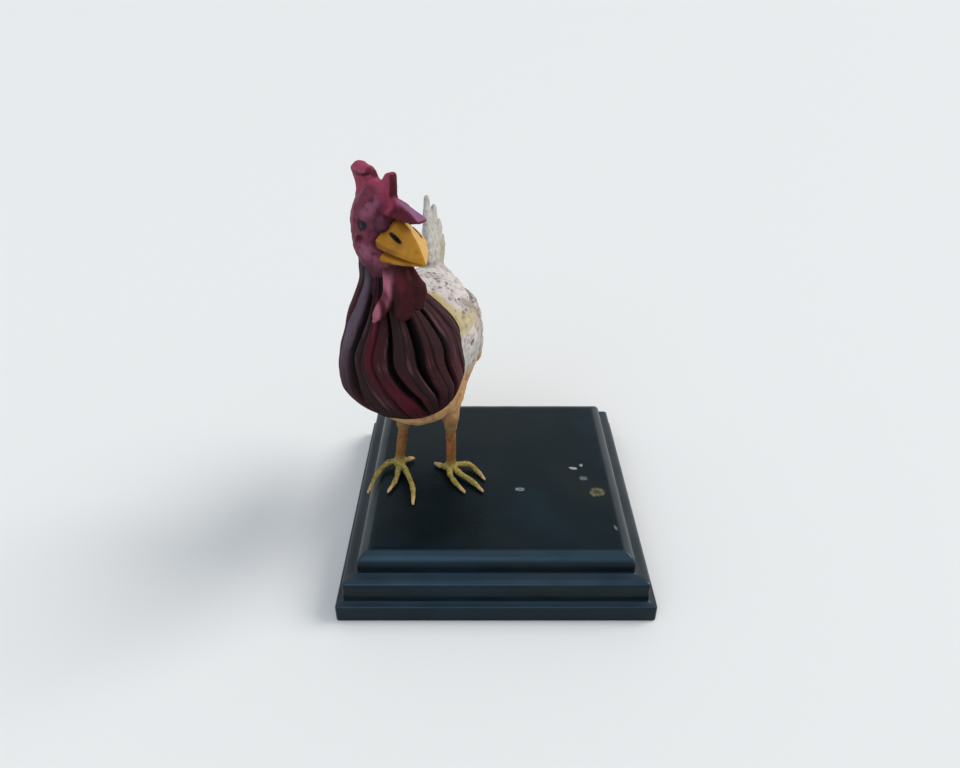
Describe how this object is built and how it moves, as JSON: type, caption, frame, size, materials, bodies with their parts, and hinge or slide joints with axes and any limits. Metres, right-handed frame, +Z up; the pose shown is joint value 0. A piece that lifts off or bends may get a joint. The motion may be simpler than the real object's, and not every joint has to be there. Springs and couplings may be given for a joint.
{
  "type": "painted clay hen figurine on a wooden plinth",
  "caption": "Painted clay hen with a tall comb, head turned to its left, standing near one side of a stepped square lacquered plinth.",
  "frame": {"origin": "middle of the plinth's underside", "axes": "+Z up, -Y out of the plinth's front, which is the side the hen looks towards; the hen stands towards -X"},
  "size_m": [0.15, 0.15, 0.1982],
  "materials": {
    "painted_clay": "modelled clay, hand painted: maroon hackle and face, red comb and wattles, ochre beak and legs, speckled white body",
    "lacquered_wood": "black gloss lacquer over moulded wood"
  },
  "bodies": {
    "root": {"hen": "painted_clay", "plinth": "lacquered_wood"}
  },
  "joints": []
}
